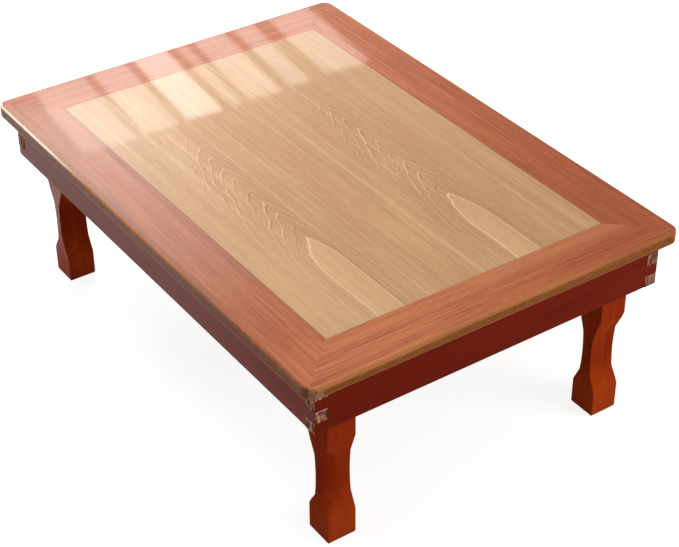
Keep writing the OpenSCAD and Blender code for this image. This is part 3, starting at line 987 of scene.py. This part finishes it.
for corner, joint in pivots.items():
    leg_node = "leg_" + corner.replace("_leg", "")
    bm = waisted_leg(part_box(leg_node)[0].z / MM, joint.z / MM)
    side_x, side_y = math.copysign(1, joint.x), math.copysign(1, joint.y)
    bmesh.ops.scale(bm, vec=(side_x, side_y, 1), verts=bm.verts)
    bmesh.ops.translate(bm, vec=(joint.x, joint.y, 0), verts=bm.verts)
    piece = deliver(bm, "waisted_" + leg_node, leg_stain, leg_node, corner, 35.0,
                    sawn_ridge)
    print(piece.name, len(piece.data.polygons), "faces,",
          sum(e.use_edge_sharp for e in piece.data.edges), "sharp edges")

# %% [markdown]
# ## Hardware, pads and underside
# The steel parts and the inner wood keep their CAD shapes, but every real
# arris is broken a little. A copy of the node's triangles is merged, its flat
# faces are joined again, and the sharp edges get a small bevel.

# %% Eased copies of the CAD nodes
FLAT_ANGLE, STEEP_ANGLE = 0.5, 50.0


def eased_copy(node, name, material, radius, body="tabletop", segments=2):
    """The node's own shape with its arrises eased by a radius in millimetres."""
    bm = bmesh.new()
    bm.from_mesh(frame["nodes"][node].data)
    bmesh.ops.remove_doubles(bm, verts=bm.verts, dist=WELD)
    bmesh.ops.dissolve_limit(bm, angle_limit=math.radians(FLAT_ANGLE), verts=bm.verts,
                             edges=bm.edges)
    ease(bm, radius, segments, STEEP_ANGLE)
    return deliver(bm, name, material, node, body)


corners = ["front_left", "front_right", "back_left", "back_right"]
for place in corners:
    eased_copy("bracket_" + place, "hinge_channel_" + place, zinc, 0.35)
    eased_copy("pivot_pin_" + place, "riveted_pin_" + place, zinc, 0.25)
    eased_copy("leaf_spring_" + place, "leaf_" + place, blued, 0.2)
    eased_copy("foot_pad_" + place, "pad_" + place, rubber, 0.5, place + "_leg", 3)
eased_copy("pin_washers", "washers", zinc, 0.15)
eased_copy("spring_rivets", "rivets", zinc, 0.2)
eased_copy("bracket_screws", "wood_screws", zinc, 0.2)
eased_copy("cross_batten", "batten", bare_wood, 1.2, segments=3)
eased_copy("glue_blocks", "blocks", bare_wood, 1.2, segments=3)
core_materials = frame["nodes"]["core_board"].data.materials
core_materials.clear()
core_materials.append(bare_wood)

# %% [markdown]
# ## Floor and world
# The floor is a plain pale sheet. It looks white to the camera and in
# reflections, through Light Path, and still takes the table's shadow. The
# world does the same: it is white where it is seen, and gives a weaker, even
# light to the table.

# %% Floor and world
FLOOR_SIZE, FLOOR_GLOW = 8.0, 0.84
WHITE, SKY_LIGHT, SKY_SEEN = (1, 1, 1, 1), 0.34, 1.0


def seen_directly(wiring):
    """1 for the camera's own rays and for reflections, 0 for light that falls on things."""
    seen = wiring.node("ShaderNodeLightPath", {}, {}, "Is Camera Ray")
    path = seen.socket.node.outputs
    for ray in ("Is Glossy Ray", "Is Transmission Ray"):
        seen = seen.apply("MAXIMUM", Reading(wiring, path[ray]))
    return seen


def studio_floor():
    """Pale grey for the table's light, and close to white where it is seen."""
    material = bpy.data.materials.new("pale_floor")
    material.use_nodes = True
    nodes = material.node_tree.nodes
    nodes.remove(nodes["Principled BSDF"])
    wiring = Wiring(material.node_tree)
    plain = wiring.node("ShaderNodeBsdfDiffuse", {}, {"Color": paint(206, 202, 198)})
    shaded = wiring.node("ShaderNodeBsdfDiffuse", {}, {"Color": paint(165, 165, 165)})
    glow = wiring.node("ShaderNodeEmission", {}, {"Strength": FLOOR_GLOW})
    bright = wiring.node("ShaderNodeAddShader", {}, {0: shaded, 1: glow})
    choice = wiring.node("ShaderNodeMixShader", {}, {0: seen_directly(wiring), 1: plain, 2: bright})
    wiring.join(nodes["Material Output"].inputs["Surface"], choice)
    return material


sheet = bmesh.new()
bmesh.ops.create_grid(sheet, x_segments=1, y_segments=1, size=FLOOR_SIZE)
floor_mesh = bpy.data.meshes.new("floor")
sheet.to_mesh(floor_mesh)
sheet.free()
floor_mesh.materials.append(studio_floor())
floor = bpy.data.objects.new("floor", floor_mesh)
bpy.context.scene.collection.objects.link(floor)

world = bpy.data.worlds.new("studio")
bpy.context.scene.world = world
world.use_nodes = True
sky = Wiring(world.node_tree)
even = world.node_tree.nodes["Background"]
sky.join(even.inputs["Color"], WHITE)
sky.join(even.inputs["Strength"], SKY_LIGHT)
white_sky = sky.node("ShaderNodeBackground", {}, {"Color": WHITE, "Strength": SKY_SEEN})
choice = sky.node("ShaderNodeMixShader", {},
                  {0: seen_directly(sky), 1: Reading(sky, even.outputs[0]), 2: white_sky})
sky.join(world.node_tree.nodes["World Output"].inputs["Surface"], choice)
print("floor and world ready")

# %% [markdown]
# ## Lamps
# Six ellipses of growing size hang overhead as one lamp whose reflection has
# no hard edge. A lamp at the right end keeps the short side readable and
# stays out of reflections. The pale bars on the board's left end are the
# image of seven strips. The lacquer is a mirror, so a strip hangs where the
# line from the camera, turned back at the board, passes. Eight more ellipses
# make the soft haze round the bars.

# %% Overhead lamp and right end
def softbox(name, place, target, size, power, tint, turn=0.0, shape="RECTANGLE"):
    """An area lamp with size = (width, height) in metres, aimed at the target."""
    lamp = bpy.data.lights.new(name, "AREA")
    lamp.shape = shape
    lamp.size, lamp.size_y = size
    lamp.energy = power
    lamp.color = tint
    box = bpy.data.objects.new(name, lamp)
    direction = Vector(target) - Vector(place)
    box.matrix_world = (Matrix.Translation(Vector(place))
                        @ direction.to_track_quat("-Z", "Y").to_matrix().to_4x4()
                        @ Matrix.Rotation(math.radians(turn), 4, "Z"))
    bpy.context.scene.collection.objects.link(box)
    return box


OVERHEAD, BOARD_MIDDLE = Vector((-0.3, -0.3, 1.5)), Vector((-0.1, 0.0, 0.25))
OVERHEAD_POWER, END_POWER = 2, 11
CLEARANCE = Vector((0, 0, 0.01))
for number in range(6):
    width = 0.7 + 0.14 * number
    softbox("overhead_%d" % (number + 1), OVERHEAD + CLEARANCE * number, BOARD_MIDDLE,
            (width, 0.8 * width), OVERHEAD_POWER, (1.0, 0.96, 0.9), shape="ELLIPSE")
right_end = softbox("right_end", (1.35, 0.9, 0.6), (0.35, 0.0, 0.15), (0.8, 0.6), END_POWER,
                    (1.0, 0.95, 0.9))
right_end.visible_glossy = False

# %% Strips and haze in the lacquer
# Each strip has the place along Y where its image starts and ends, and its brightness.
STRIPS = ((-0.204, -0.135, 7), (-0.122, -0.074, 9), (-0.061, -0.012, 15), (0.003, 0.018, 7),
          (0.030, 0.077, 8.5), (0.092, 0.122, 8), (0.147, 0.212, 8))
STRIP_GLOW, STRIP_TURN = 0.85, -6.0
BANK_HEIGHT = 0.7
BANK_LEFT, BANK_RIGHT = -1.25, -0.86
HAZE, HAZE_GLOW = Vector((-0.92, 0.11, 0.72)), 0.58
HAZE_WIDTH, HAZE_HEIGHT, ELLIPSE_SHARE = 0.58, 0.34, 0.785
DOWN = Vector((0, 0, -1))
lift = (BANK_HEIGHT - board_high.z) / (camera.matrix_world.translation.z - board_high.z)


def over(y):
    """Where a strip hangs whose image the camera sees at y on the board."""
    return y + lift * (y - camera.matrix_world.translation.y)


wide = BANK_RIGHT - BANK_LEFT
for number, (near, far, glow) in enumerate(STRIPS):
    deep = over(far) - over(near)
    middle = Vector(((BANK_LEFT + BANK_RIGHT) / 2, (over(near) + over(far)) / 2, BANK_HEIGHT))
    softbox("strip_%d" % (number + 1), middle, middle + DOWN, (wide, deep),
            glow * STRIP_GLOW * math.pi * wide * deep, (1.0, 0.98, 0.92), STRIP_TURN)
for number in range(8):
    scale = 0.35 + 0.17 * number
    width, height = HAZE_WIDTH * scale, HAZE_HEIGHT * scale
    place = HAZE + CLEARANCE * number
    softbox("card_%d" % (number + 1), place, place + DOWN, (width, height),
            HAZE_GLOW * math.pi * width * height * ELLIPSE_SHARE, (1.0, 0.97, 0.94),
            shape="ELLIPSE")

# %% Finish with the view transform
bpy.context.scene.view_settings.view_transform = "Standard"
